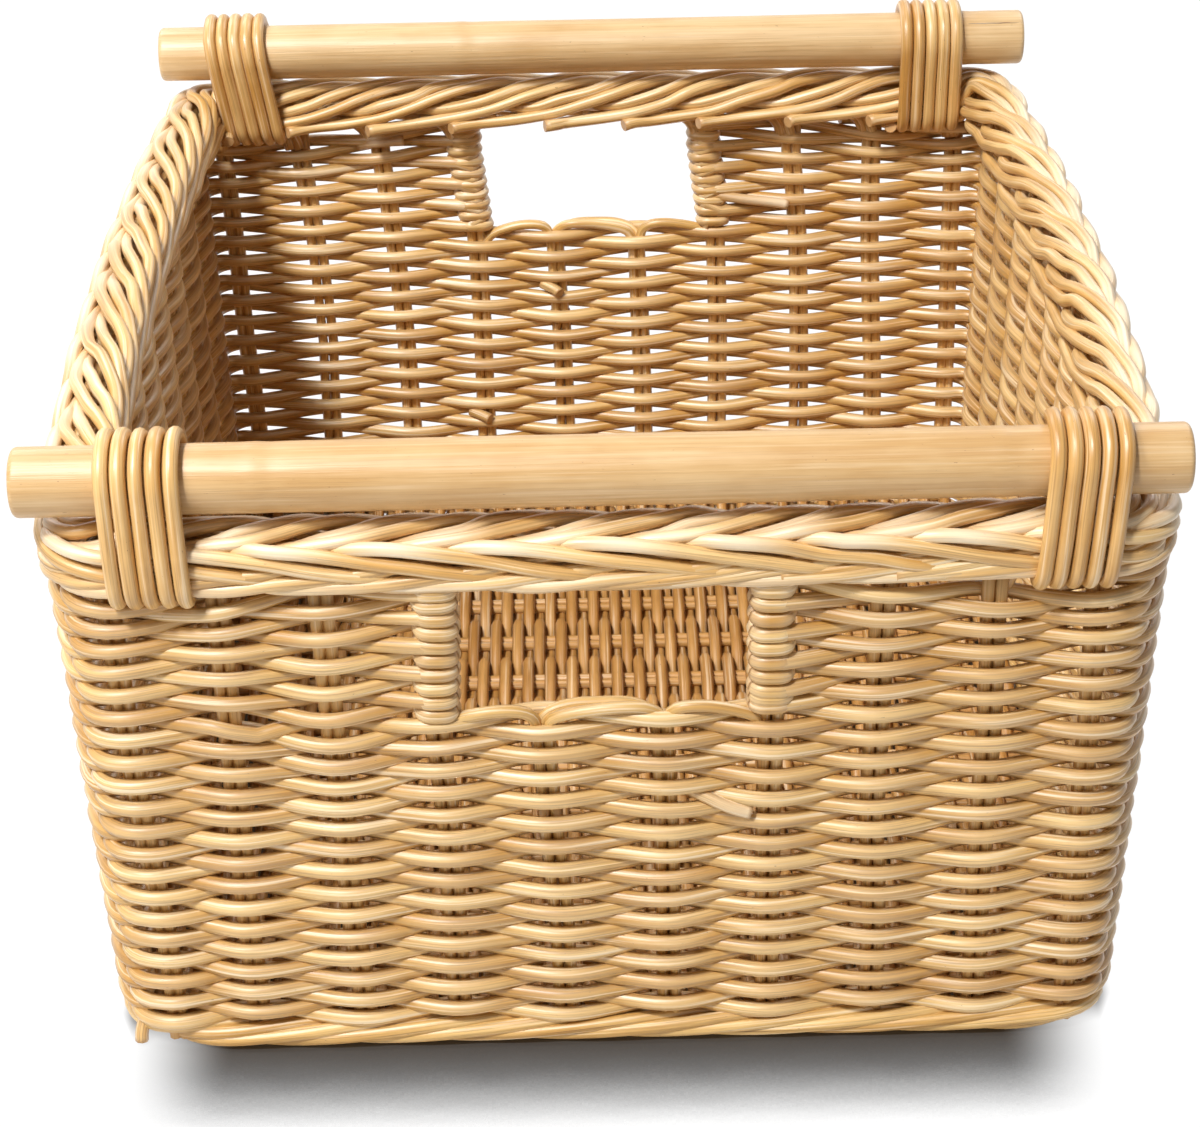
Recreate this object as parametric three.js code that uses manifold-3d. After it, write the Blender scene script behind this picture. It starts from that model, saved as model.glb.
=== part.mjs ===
// A rattan storage basket: four woven walls on paired stakes, a plaited rim border, a twisted foot,
// a woven base, and two round poles lashed on the front and back rims as handles.
// Millimetres. X runs along the poles, Y from the front (-) to the back (+), Z up from the floor.
import * as THREE from 'three';
import { mergeVertices } from 'three/addons/utils/BufferGeometryUtils.js';
import Module from 'manifold-3d';

const wasm = await Module();
wasm.setup();

// Plan of the walls, measured across their outer faces at the corners.
const baseWidth = 380;
const baseDepth = 423;
const sideFlare = 5; // how far the rim stands out beyond the base at each side
const frontFlare = 10; // the same at the front and at the back
const wallCornerRadius = 12; // on the middle of the wall
const sideBowRim = 9; // how far a side wall swells outwards at its middle
const sideBowBase = 3;
const frontBowRim = 2; // the same for the front and back walls
const frontBowBase = 0.5;

// Heights of the layers, from the floor up.
const footHeight = 12;
const weaveHeight = 194;
const borderHeight = 23;
const poleGap = 3; // between the rim border and the pole above it

// Round cane.
const stakeDiameter = 4.2;
const weaverDiameter = 4.95;
const reedDiameter = 4.85; // of the lashings
const wallBetweenStakes = 7; // where neighbouring weavers cross
const stakesAcross = 10; // pairs in the front and back walls
const stakesDeep = 11; // pairs in the side walls
const stakeInset = 19.25; // from the walls' corner to the first pair, on the middle of the wall

// Rim border and foot.
const borderWidth = 25;
const borderOverhang = 1.5; // beyond the wall's outer face
const borderCornerRadius = 14;
const borderEdgeRadius = 7;
const footWidth = 13;
const footOverhang = 1;
const footCornerRadius = 12;
const footChamfer = 3;

// Base: weavers from front to back, which go over one stick and under the next.
const baseThickness = 9.5;
const baseWeaverPitch = 5.03;
const baseStickPitch = 33.4;
const baseStickDiameter = 3.6;

// Poles and lashings.
const poleLength = 400;
const poleDiameter = 24.5;
const poleEndRadius = 3.5;
const poleInset = 2.5; // from the middle of the border towards the inside
const lashingInset = 40; // from the walls' corner to the middle of a lashing
const lashingTurns = 5;
const lashingGap = 0.5; // between two turns
const lashingSteps = 24; // points in a turn
const lashingSides = 6;
const chordDepth = 0.3; // a turn's straight steps cut this far inside its curve

// Hand holes.
const holeWidth = 100.6;
const holeHeight = 51;
const sillRise = 2.2; // of each of the sill's arcs

const clearance = 0.3; // between pieces that touch
const poleSides = 24;
const cornerSteps = 3; // in the half corner that belongs to one wall
const stepsPerStake = 4;

// Sizes and levels that follow from the ones above.
const rimWidth = baseWidth + 2 * sideFlare;
const rimDepth = baseDepth + 2 * frontFlare;
const lashingCentre = rimWidth / 2 - lashingInset;
const weaveBottom = footHeight + clearance;
const weaveTop = weaveBottom + weaveHeight;
const borderBottom = weaveTop + clearance;
const borderMiddle = borderBottom + borderHeight / 2;
const poleAxisZ = borderBottom + borderHeight + poleGap + poleDiameter / 2;
const wallAtStake = stakeDiameter + 2 * weaverDiameter;
const baseBottom = footHeight - baseThickness;
const sillTop = weaveTop - holeHeight;

// An outline in plan: half sizes across X and Y, the bow of each kind of side and the corner radius.
function outline(width, depth, inwards, radius, frontBow, sideBow) {
  return { halfX: width / 2 - inwards, halfY: depth / 2 - inwards, radius, frontBow, sideBow };
}

const wallRim = outline(rimWidth, rimDepth, wallAtStake / 2, wallCornerRadius, frontBowRim, sideBowRim);
const wallFoot = outline(baseWidth, baseDepth, wallAtStake / 2, wallCornerRadius, frontBowBase, sideBowBase);
const borderLine = outline(rimWidth, rimDepth, borderWidth / 2 - borderOverhang, borderCornerRadius,
  frontBowRim, sideBowRim);
const footLine = outline(baseWidth, baseDepth, footWidth / 2 - footOverhang, footCornerRadius,
  frontBowBase, sideBowBase);
const baseInset = footWidth - footOverhang + clearance;
const baseLine = outline(baseWidth, baseDepth, baseInset, footCornerRadius - footWidth / 2 - clearance,
  frontBowBase, sideBowBase);
const poleOffset = borderLine.halfY - poleInset;

// Weavers and sticks of the base, an odd number of each, so that they reach past its outline on both sides.
const baseWeavers = 2 * Math.ceil((baseLine.halfX + baseLine.sideBow) / baseWeaverPitch) + 1;
const baseSticks = 2 * Math.ceil((baseLine.halfY + baseLine.frontBow) / baseStickPitch) + 1;

// One side of an outline in its own frame: half its length, its distance out and its bow.
function sideOf(line, side) {
  const deep = side % 2 === 1;
  const half = deep ? line.halfY : line.halfX;
  return {
    half,
    out: deep ? line.halfX : line.halfY,
    bow: deep ? line.sideBow : line.frontBow,
    run: half - line.radius,
    radius: line.radius,
  };
}

// How far out the side lies at a distance along it, on its straight stretch.
function outAt(s, along) {
  return s.out + s.bow * (1 - (along / s.run) ** 2);
}

// Places of the stake pairs along a side.
function stakePlaces(s, side) {
  const count = side % 2 === 1 ? stakesDeep : stakesAcross;
  const pitch = (2 * (s.half - stakeInset)) / (count - 1);
  return Array.from({ length: count }, (_, k) => -(s.half - stakeInset) + k * pitch);
}

// Stations of a side from one mitre to the other: place, outward normal and whether it is on the corner.
function stationsOf(line, side) {
  const s = sideOf(line, side);
  const places = stakePlaces(s, side);
  const pitch = places[1] - places[0];
  const list = [];
  const addCorner = (sign, k) => {
    const angle = (sign * (k * Math.PI)) / 4 / cornerSteps;
    const back = k === cornerSteps ? clearance / 2 : 0;
    list.push({
      along: sign * (s.run + s.radius * Math.abs(Math.sin(angle)) - back * Math.cos(angle)),
      out: s.out - s.radius + s.radius * Math.cos(angle) + back * Math.abs(Math.sin(angle)),
      normal: [Math.sin(angle), Math.cos(angle)],
    });
  };
  const addStraight = (along) => {
    list.push({ along, out: outAt(s, along), normal: [0, 1] });
  };
  for (let k = cornerSteps; k > 0; k--) addCorner(-1, k);
  addStraight(-s.run);
  for (let i = 0; i <= (places.length - 1) * stepsPerStake; i++) {
    addStraight(places[0] + (i * pitch) / stepsPerStake);
  }
  addStraight(s.run);
  for (let k = 1; k <= cornerSteps; k++) addCorner(1, k);
  return { list, places, pitch };
}

// A place in a side's frame, where the side faces -Y, as the front does.
function place(along, out, z) {
  return new THREE.Vector3(along, -out, z);
}

// Triangles that close a flat loop, wound as the loop is.
function capOf(loop) {
  const normal = new THREE.Vector3();
  loop.forEach((p, i) => normal.add(new THREE.Vector3().crossVectors(p, loop[(i + 1) % loop.length])));
  const size = [Math.abs(normal.x), Math.abs(normal.y), Math.abs(normal.z)];
  const drop = size.indexOf(Math.max(...size));
  const keep = ['x', 'y', 'z'].filter((_, i) => i !== drop);
  const flat = loop.map((p) => new THREE.Vector2(p[keep[0]], p[keep[1]]));
  const turn = Math.sign(THREE.ShapeUtils.area(flat));
  return THREE.ShapeUtils.triangulateShape(flat, []).map(([a, b, c]) => {
    const same = Math.sign(THREE.ShapeUtils.area([flat[a], flat[b], flat[c]])) === turn;
    return same ? [a, b, c] : [a, c, b];
  });
}

// A closed solid through a row of loops that have equally many points.
function loft(loops) {
  const count = loops[0].length;
  const last = (loops.length - 1) * count;
  const faces = [];
  for (let i = 0; i < loops.length - 1; i++) {
    for (let j = 0; j < count; j++) {
      const a = i * count + j;
      const b = i * count + ((j + 1) % count);
      faces.push(a, b, b + count, a, b + count, a + count);
    }
  }
  capOf(loops[0]).forEach(([a, b, c]) => faces.push(a, c, b));
  capOf(loops[loops.length - 1]).forEach(([a, b, c]) => faces.push(last + a, last + b, last + c));
  const geometry = new THREE.BufferGeometry().setFromPoints(loops.flat());
  geometry.setIndex(faces);
  return facingOut(geometry);
}

function signedVolume(geometry) {
  const position = geometry.getAttribute('position');
  const index = geometry.index.array;
  const [a, b, c] = [new THREE.Vector3(), new THREE.Vector3(), new THREE.Vector3()];
  let sum = 0;
  for (let i = 0; i < index.length; i += 3) {
    a.fromBufferAttribute(position, index[i]);
    b.fromBufferAttribute(position, index[i + 1]);
    c.fromBufferAttribute(position, index[i + 2]);
    sum += a.dot(b.cross(c)) / 6;
  }
  return sum;
}

// Shared vertices merged and every face turned outwards.
function facingOut(geometry) {
  geometry.deleteAttribute('normal');
  geometry.deleteAttribute('uv');
  const merged = mergeVertices(geometry, 1e-4);
  if (signedVolume(merged) < 0) {
    const index = merged.index.array;
    for (let i = 0; i < index.length; i += 3) {
      [index[i + 1], index[i + 2]] = [index[i + 2], index[i + 1]];
    }
  }
  return merged;
}

function solidOf(geometry) {
  return new wasm.Manifold(new wasm.Mesh({
    numProp: 3,
    vertProperties: new Float32Array(geometry.getAttribute('position').array),
    triVerts: new Uint32Array(geometry.index.array),
  }));
}

function geometryOf(solid) {
  const mesh = solid.getMesh();
  const geometry = new THREE.BufferGeometry();
  geometry.setAttribute('position', new THREE.BufferAttribute(new Float32Array(mesh.vertProperties), 3));
  geometry.setIndex(new THREE.BufferAttribute(new Uint32Array(mesh.triVerts), 1));
  return geometry;
}

// A box given by its lowest and highest corners.
function boxBetween(low, high) {
  const size = [0, 1, 2].map((i) => high[i] - low[i]);
  const geometry = new THREE.BoxGeometry(...size);
  geometry.translate(...[0, 1, 2].map((i) => (low[i] + high[i]) / 2));
  return solidOf(facingOut(geometry));
}

// Outline of two rods that lie side by side along u, each of the radius given, as [u, v] points.
function pairSection(radius, spread) {
  const steps = [-3, -2, -1, 0, 1, 2, 3].map((k) => (k * Math.PI) / 4);
  const right = steps.map((t) => [spread + radius * Math.cos(t), radius * Math.sin(t)]);
  const left = steps.map((t) => [-spread - radius * Math.cos(t), -radius * Math.sin(t)]);
  return [...right, ...left];
}

// Outline of the slot that the pair stands in: straight sides and round ends outside the rods.
function slotSection(radius, spread) {
  const reach = (radius + clearance) / Math.cos(Math.PI / 8);
  const steps = [-2, -1, 0, 1, 2].map((k) => (k * Math.PI) / 4);
  const right = steps.map((t) => [spread + reach * Math.cos(t), reach * Math.sin(t)]);
  const left = steps.map((t) => [-spread - reach * Math.cos(t), -reach * Math.sin(t)]);
  return [...right, ...left];
}

// Middle of the wall at a stake pair and a height, in the side's frame.
function stakeMiddle(side, k, z) {
  const low = sideOf(wallFoot, side);
  const high = sideOf(wallRim, side);
  const lowAlong = stakePlaces(low, side)[k];
  const highAlong = stakePlaces(high, side)[k];
  const t = (z - weaveBottom) / weaveHeight;
  return {
    along: lowAlong + (highAlong - lowAlong) * t,
    out: outAt(low, lowAlong) * (1 - t) + outAt(high, highAlong) * t,
  };
}

// An upright prism that follows a stake pair between two heights.
function alongStake(section, side, k, bottom, top) {
  return loft([bottom, top].map((z) => {
    const middle = stakeMiddle(side, k, z);
    return section.map(([u, v]) => place(middle.along + u, middle.out + v, z));
  }));
}

// The closed loop of a lashing across the pole, as [inwards, z, share of the loop] in many short steps.
function lashingLoop() {
  const offset = reedDiameter / 2 + clearance + chordDepth;
  const cornerIn = borderWidth / 2 - borderEdgeRadius;
  const cornerUp = borderHeight / 2 - borderEdgeRadius;
  const discs = [{ y: -poleOffset, z: poleAxisZ, r: poleDiameter / 2 }];
  for (const [iy, iz] of [[-1, -1], [1, -1], [-1, 1], [1, 1]]) {
    discs.push({ y: -borderLine.halfY + iy * cornerIn, z: borderMiddle + iz * cornerUp, r: borderEdgeRadius });
  }
  const directions = 720;
  const points = Array.from({ length: directions }, (_, i) => {
    const t = (i * 2 * Math.PI) / directions;
    const n = [Math.cos(t), Math.sin(t)];
    const reach = discs.map((d) => d.y * n[0] + d.z * n[1] + d.r);
    const d = discs[reach.indexOf(Math.max(...reach))];
    return [d.y + n[0] * (d.r + offset), d.z + n[1] * (d.r + offset)];
  });
  const stepLength = (i) => Math.hypot(
    points[(i + 1) % directions][0] - points[i][0],
    points[(i + 1) % directions][1] - points[i][1],
  );
  // The loop starts halfway down its straight stretch inside the basket.
  const inner = points.map((p, i) => (p[0] > -poleOffset ? stepLength(i) : 0));
  const longest = inner.indexOf(Math.max(...inner));
  const next = points[(longest + 1) % directions];
  const start = [(points[longest][0] + next[0]) / 2, (points[longest][1] + next[1]) / 2];
  const ring = [start, ...points.slice(longest + 1), ...points.slice(0, longest + 1), start];
  // A step's share is half by its length and half by its turning, which crowds points on the bends.
  const lengths = ring.slice(1).map((p, i) => Math.hypot(p[0] - ring[i][0], p[1] - ring[i][1]));
  const total = lengths.reduce((a, b) => a + b, 0);
  let share = 0;
  const shares = [0, ...lengths.map((length) => {
    share += length / total / 2 + 1 / lengths.length / 2;
    return share;
  })];
  return ring.map((p, i) => [p[0], p[1], shares[i]]);
}

// The middle line of a lashing: turns of the loop that move on by one reed and its gap each time.
function lashingLine() {
  const loop = lashingLoop();
  const pitch = reedDiameter + lashingGap;
  const count = lashingTurns * lashingSteps;
  return Array.from({ length: count + 1 }, (_, j) => {
    const share = (j % lashingSteps) / lashingSteps;
    const after = Math.max(loop.findIndex((p) => p[2] > share), 1);
    const [before, next] = [loop[after - 1], loop[after]];
    const f = (share - before[2]) / (next[2] - before[2]);
    const x = (j / lashingSteps - lashingTurns / 2) * pitch;
    return new THREE.Vector3(x, before[0] + (next[0] - before[0]) * f, before[1] + (next[1] - before[1]) * f);
  });
}

// A round tube of few sides along a line of points that winds about X.
function windingTube(line, radius, sides) {
  const loops = line.map((p, i) => {
    const before = line[Math.max(i - 1, 0)];
    const after = line[Math.min(i + 1, line.length - 1)];
    const forward = new THREE.Vector3().subVectors(after, before).normalize();
    const across = new THREE.Vector3(1, 0, 0).addScaledVector(forward, -forward.x).normalize();
    const away = new THREE.Vector3().crossVectors(forward, across);
    return Array.from({ length: sides }, (_, k) => {
      const t = (k * 2 * Math.PI) / sides;
      return p.clone().addScaledVector(across, radius * Math.cos(t)).addScaledVector(away, radius * Math.sin(t));
    });
  });
  return loft(loops);
}

// Least gap between points of the winding that lie at least half a turn apart.
function leastGap(line, diameter) {
  let least = Infinity;
  for (let i = 0; i < line.length; i++) {
    for (let j = i + lashingSteps / 2; j < line.length; j++) {
      least = Math.min(least, line[i].distanceTo(line[j]) - diameter);
    }
  }
  return least;
}

const winding = lashingLine();
console.log('Least gap of a lashing to itself, mm:', leastGap(winding, reedDiameter).toFixed(3));

// The notch under the border that a lashing passes through, from the part of it below the border.
const underBorder = winding.filter((p) => p.z - reedDiameter / 2 < weaveTop);
const notch = {
  low: Math.min(...underBorder.map((p) => p.x)) - reedDiameter / 2 - clearance,
  high: Math.max(...underBorder.map((p) => p.x)) + reedDiameter / 2 + clearance,
  bottom: Math.min(...underBorder.map((p) => p.z)) - reedDiameter / 2 - clearance,
};

// Height at which a stake pair ends: under the border, or under the notch where a lashing passes over it.
function stakeTop(side, k) {
  if (side % 2 === 1) return weaveTop;
  const { along } = stakeMiddle(side, k, weaveTop);
  const reach = stakeDiameter + 2 * clearance;
  const crossed = [-lashingCentre, lashingCentre].some(
    (centre) => along + reach > centre + notch.low && along - reach < centre + notch.high,
  );
  return crossed ? notch.bottom - clearance : weaveTop;
}

// Whether a stake pair stops at the sill of the hand hole in its wall.
function underHole(side, k) {
  const { along } = stakeMiddle(side, k, weaveTop);
  return side % 2 === 0 && Math.abs(along) < holeWidth / 2;
}

// Two rods side by side share a hair of material, so that the pair is one body.
const rodsShare = 0.17;
const pairSpread = (stakeDiameter - rodsShare) / 2;
const stakeSection = pairSection(stakeDiameter / 2, pairSpread);
const wallSlot = slotSection(stakeDiameter / 2, pairSpread);

// A woven wall: thickest over its stake pairs, thinnest between them, with a slot for each pair.
function wall(side) {
  const loops = [[wallFoot, weaveBottom], [wallRim, weaveTop]].map(([line, z]) => {
    const { list, places, pitch } = stationsOf(line, side);
    const halfThickness = (station) => {
      const reach = Math.min(Math.abs(station.along), sideOf(line, side).run);
      const phase = (reach - places[places.length - 1]) / pitch;
      const swell = Math.cos(Math.PI * phase) ** 2;
      return (wallBetweenStakes + (wallAtStake - wallBetweenStakes) * swell) / 2;
    };
    const face = (sign) => list.map((station) => place(
      station.along + sign * halfThickness(station) * station.normal[0],
      station.out + sign * halfThickness(station) * station.normal[1],
      z,
    ));
    return [...face(1), ...face(-1).reverse()];
  });
  let solid = solidOf(loft(loops));
  const count = stakePlaces(sideOf(wallRim, side), side).length;
  for (let k = 0; k < count; k++) {
    solid = solid.subtract(solidOf(alongStake(wallSlot, side, k, weaveBottom - 1, weaveTop + 1)));
  }
  if (side % 2 === 0) {
    const [outside, inside] = [-rimDepth, -baseDepth / 2 + 4 * wallAtStake];
    const cutBottom = sillTop - stakeDiameter - clearance;
    solid = solid.subtract(boxBetween(
      [-holeWidth / 2, outside, cutBottom],
      [holeWidth / 2, inside, weaveTop + 1],
    ));
    for (const centre of [-lashingCentre, lashingCentre]) {
      solid = solid.subtract(boxBetween(
        [centre + notch.low, outside, notch.bottom],
        [centre + notch.high, inside, weaveTop + 1],
      ));
    }
  }
  return geometryOf(solid);
}

// The lower edge of a hand hole: the middle stake pairs, folded over sideways in low arcs.
function sill(side) {
  const end = holeWidth / 2 - clearance;
  const inner = stakePlaces(sideOf(wallRim, side), side)
    .map((_, k) => k)
    .filter((k) => underHole(side, k));
  const knots = [-end, ...inner.map((k) => stakeMiddle(side, k, sillTop).along), end];
  const arcSteps = 4;
  const middleZ = sillTop - stakeDiameter / 2;
  const loops = [];
  for (let i = 0; i < knots.length - 1; i++) {
    for (let j = i === 0 ? 0 : 1; j <= arcSteps; j++) {
      const f = j / arcSteps;
      const along = knots[i] + (knots[i + 1] - knots[i]) * f;
      const rise = sillRise * 4 * f * (1 - f);
      const { out } = stakeMiddle(side, inner[0], sillTop);
      loops.push(stakeSection.map(([u, v]) => place(along, out + u, middleZ + rise + v)));
    }
  }
  let solid = solidOf(loft(loops));
  for (const k of inner) {
    solid = solid.add(solidOf(alongStake(stakeSection, side, k, weaveBottom, middleZ)));
  }
  return geometryOf(solid);
}

// A bar that follows one side of an outline, with its section given as [outwards, z] points.
function bar(line, side, section) {
  const { list } = stationsOf(line, side);
  const kept = list.filter((_, i) => i <= cornerSteps + 1 || i >= list.length - cornerSteps - 2
    || (i - cornerSteps - 1) % stepsPerStake === 0);
  return loft(kept.map(({ along, out, normal }) => section.map(
    ([u, z]) => place(along + u * normal[0], out + u * normal[1], z),
  )));
}

function borderSection() {
  const points = [];
  for (const [iu, iz] of [[1, 1], [-1, 1], [-1, -1], [1, -1]]) {
    const start = Math.atan2(iz, iu) - Math.PI / 4;
    for (let j = 0; j < 3; j++) {
      const t = start + (j * Math.PI) / 4;
      points.push([
        iu * (borderWidth / 2 - borderEdgeRadius) + borderEdgeRadius * Math.cos(t),
        borderMiddle + iz * (borderHeight / 2 - borderEdgeRadius) + borderEdgeRadius * Math.sin(t),
      ]);
    }
  }
  return points;
}

function footSection() {
  const half = footWidth / 2;
  return [
    [-half, 0],
    [half, 0],
    [half, footHeight - footChamfer],
    [half - footChamfer, footHeight],
    [footChamfer - half, footHeight],
    [-half, footHeight - footChamfer],
  ];
}

// A block whose top and bottom rise and fall as the weave of the base does: a weaver's own height where it
// passes over a stick, and the stick's where it passes under.
function baseWeave() {
  const middle = footHeight - baseThickness / 2;
  const rowAt = (i) => {
    const x = (i - (baseWeavers - 1) / 2) * baseWeaverPitch;
    const top = [];
    const bottom = [];
    for (let j = 0; j < baseSticks; j++) {
      const y = (j - (baseSticks - 1) / 2) * baseStickPitch;
      const over = (i + j) % 2 === 0;
      top.push(new THREE.Vector3(x, y, over ? footHeight : middle + baseStickDiameter / 2));
      bottom.unshift(new THREE.Vector3(x, y, over ? middle - baseStickDiameter / 2 : baseBottom));
    }
    return [...top, ...bottom];
  };
  return loft(Array.from({ length: baseWeavers }, (_, i) => rowAt(i)));
}

// The base: that weave, cut to the outline that fills the foot.
function base() {
  const loopAt = (z) => [0, 1, 2, 3].flatMap((side) => {
    const { list } = stationsOf(baseLine, side);
    const turn = new THREE.Matrix4().makeRotationZ((side * Math.PI) / 2);
    return list
      .filter((_, i) => i > 0 && (i <= cornerSteps + 1 || i >= list.length - cornerSteps - 2
        || (i - cornerSteps - 1) % stepsPerStake === 0))
      .map(({ along, out }) => place(along, out, z).applyMatrix4(turn));
  });
  const filling = solidOf(loft([loopAt(baseBottom - 1), loopAt(footHeight + 1)]));
  return geometryOf(filling.intersect(solidOf(baseWeave())));
}

function pole() {
  const half = poleLength / 2;
  const radius = poleDiameter / 2;
  const profile = [new THREE.Vector2(0, -half)];
  for (const sign of [-1, 1]) {
    for (let j = 0; j <= 3; j++) {
      const t = ((sign < 0 ? j : 3 - j) * Math.PI) / 6;
      profile.push(new THREE.Vector2(
        radius - poleEndRadius + poleEndRadius * Math.sin(t),
        sign * (half - poleEndRadius + poleEndRadius * Math.cos(t)),
      ));
    }
  }
  profile.push(new THREE.Vector2(0, half));
  return facingOut(new THREE.LatheGeometry(profile, poleSides));
}

// Finishes: pale creamy rattan pole, glossy reed, honey cane, and the deeper tone of the stakes.
const poleCane = new THREE.MeshStandardMaterial({ color: 0xe3c98f, roughness: 0.45, metalness: 0 });
const reed = new THREE.MeshStandardMaterial({ color: 0xdcb878, roughness: 0.35, metalness: 0 });
const cane = new THREE.MeshStandardMaterial({ color: 0xd9b06a, roughness: 0.5, metalness: 0 });
const stakeCane = new THREE.MeshStandardMaterial({ color: 0xb98d4e, roughness: 0.55, metalness: 0 });

const basket = new THREE.Group();

function addPiece(parent, name, geometry, material) {
  const shape = geometry.index ? geometry.toNonIndexed() : geometry;
  shape.computeVertexNormals();
  const mesh = new THREE.Mesh(shape, material);
  mesh.name = name;
  parent.add(mesh);
  return mesh;
}

['front', 'right', 'back', 'left'].forEach((word, side) => {
  const group = new THREE.Group();
  group.rotation.z = (side * Math.PI) / 2;
  basket.add(group);
  addPiece(group, `${word}_wall`, wall(side), cane);
  addPiece(group, `${word}_border`, bar(borderLine, side, borderSection()), cane);
  addPiece(group, `${word}_foot`, bar(footLine, side, footSection()), cane);
  const count = stakePlaces(sideOf(wallRim, side), side).length;
  for (let k = 0; k < count; k++) {
    if (underHole(side, k)) continue;
    const number = String(k + 1).padStart(2, '0');
    const shape = alongStake(stakeSection, side, k, weaveBottom, stakeTop(side, k));
    addPiece(group, `${word}_stake_pair_${number}`, shape, stakeCane);
  }
  if (side % 2 === 0) {
    addPiece(group, `${word}_sill`, sill(side), stakeCane);
    const handle = addPiece(group, `${word}_pole`, pole(), poleCane);
    handle.rotation.z = Math.PI / 2;
    handle.position.set(0, -poleOffset, poleAxisZ);
    for (const [end, sign] of [['a', -1], ['b', 1]]) {
      const tube = windingTube(winding, reedDiameter / 2, lashingSides);
      const lashing = addPiece(group, `${word}_lashing_${end}`, tube, reed);
      lashing.position.x = sign * lashingCentre;
    }
  }
});

addPiece(basket, 'base', base(), cane);

export default basket;
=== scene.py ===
# %% [markdown]
# # A storage basket of natural rattan
#
# The real basket is nothing but round cane: upright stakes, weavers that pass outside and inside of them, a
# plaited rim, a twisted foot, and two solid poles lashed on top. So this lesson makes every piece out of
# rods with real thickness, and one finish that follows each rod's own length.
#
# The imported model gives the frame: its sizes hold, and each piece made here stands for one of its nodes.

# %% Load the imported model
import math

import bmesh
import bpy
import numpy as np
from mathutils import Matrix, Vector


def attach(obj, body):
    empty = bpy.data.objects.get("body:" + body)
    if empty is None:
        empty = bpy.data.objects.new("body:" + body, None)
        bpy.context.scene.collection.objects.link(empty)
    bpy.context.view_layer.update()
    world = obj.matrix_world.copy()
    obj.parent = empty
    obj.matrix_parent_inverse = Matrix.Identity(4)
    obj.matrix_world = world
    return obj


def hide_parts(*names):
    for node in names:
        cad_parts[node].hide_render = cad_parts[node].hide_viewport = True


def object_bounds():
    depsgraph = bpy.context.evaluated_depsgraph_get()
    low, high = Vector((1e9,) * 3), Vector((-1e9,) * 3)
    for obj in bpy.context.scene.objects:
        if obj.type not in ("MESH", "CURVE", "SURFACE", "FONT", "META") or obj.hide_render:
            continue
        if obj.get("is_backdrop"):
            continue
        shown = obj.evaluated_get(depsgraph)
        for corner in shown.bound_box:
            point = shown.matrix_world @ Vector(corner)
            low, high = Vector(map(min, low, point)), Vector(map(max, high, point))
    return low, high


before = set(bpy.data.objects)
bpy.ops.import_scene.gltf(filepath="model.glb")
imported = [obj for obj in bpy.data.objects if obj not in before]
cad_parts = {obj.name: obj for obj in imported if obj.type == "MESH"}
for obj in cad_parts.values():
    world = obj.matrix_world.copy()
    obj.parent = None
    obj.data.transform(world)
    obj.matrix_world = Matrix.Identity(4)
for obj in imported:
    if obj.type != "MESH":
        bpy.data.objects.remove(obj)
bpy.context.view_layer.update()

print("nodes in the frame:", len(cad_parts))

# %% [markdown]
# ## The view
#
# A camera could be turned by eye. Here it is placed by three angles and a point, which were fitted to the
# poles, the rim and the foot of the photograph.

# %% Camera
MM = 0.001
scene = bpy.context.scene
scene.view_settings.view_transform = "Standard"

look_down = math.radians(30.09)
look_right = math.radians(0.3)
lean = math.radians(-1.1)
camera_place = Vector((-7.5, -1048.5, 695.5)) * MM

flat = math.cos(look_down)
forward = Vector((math.sin(look_right) * flat, math.cos(look_right) * flat, -math.sin(look_down)))
level = Vector((math.cos(look_right), -math.sin(look_right), 0))
upward = level.cross(forward)
camera_x = math.cos(lean) * level + math.sin(lean) * upward
camera_y = -math.sin(lean) * level + math.cos(lean) * upward

camera_data = bpy.data.cameras.new("camera")
camera_data.lens = 85
camera_data.sensor_width = 36
camera_data.sensor_fit = "HORIZONTAL"
camera = bpy.data.objects.new("camera", camera_data)
turn = Matrix((camera_x, camera_y, -forward)).transposed().to_4x4()
camera.matrix_world = Matrix.Translation(camera_place) @ turn
scene.collection.objects.link(camera)
scene.camera = camera
print("camera at", [round(v, 3) for v in camera.matrix_world.translation])

# %% [markdown]
# ## Writing a finish as sums
#
# A finish is a graph of nodes, and a graph is tedious to write link by link. A small class wraps one socket,
# so that a sum on it adds the Math node, and one method adds any other node. The sky is such a graph too.

# %% Finish helpers
class Wire:
    """One output socket of a graph, on which plain sums can be written."""

    def __init__(self, graph, socket):
        self.graph = graph
        self.socket = socket

    def math(self, operation, first, second=None, clamp=False):
        values = {0: first} if second is None else {0: first, 1: second}
        return self.graph.node("ShaderNodeMath", {"operation": operation, "use_clamp": clamp}, values)

    def __add__(self, other):
        return self.math("ADD", self, other)

    def __sub__(self, other):
        return self.math("SUBTRACT", self, other)

    def __rsub__(self, other):
        return self.math("SUBTRACT", other, self)

    def __mul__(self, other):
        return self.math("MULTIPLY", self, other)

    def __abs__(self):
        return self.math("ABSOLUTE", self)

    def clamped(self):
        return self.math("ADD", self, 0.0, clamp=True)

    __radd__ = __add__
    __rmul__ = __mul__


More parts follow.
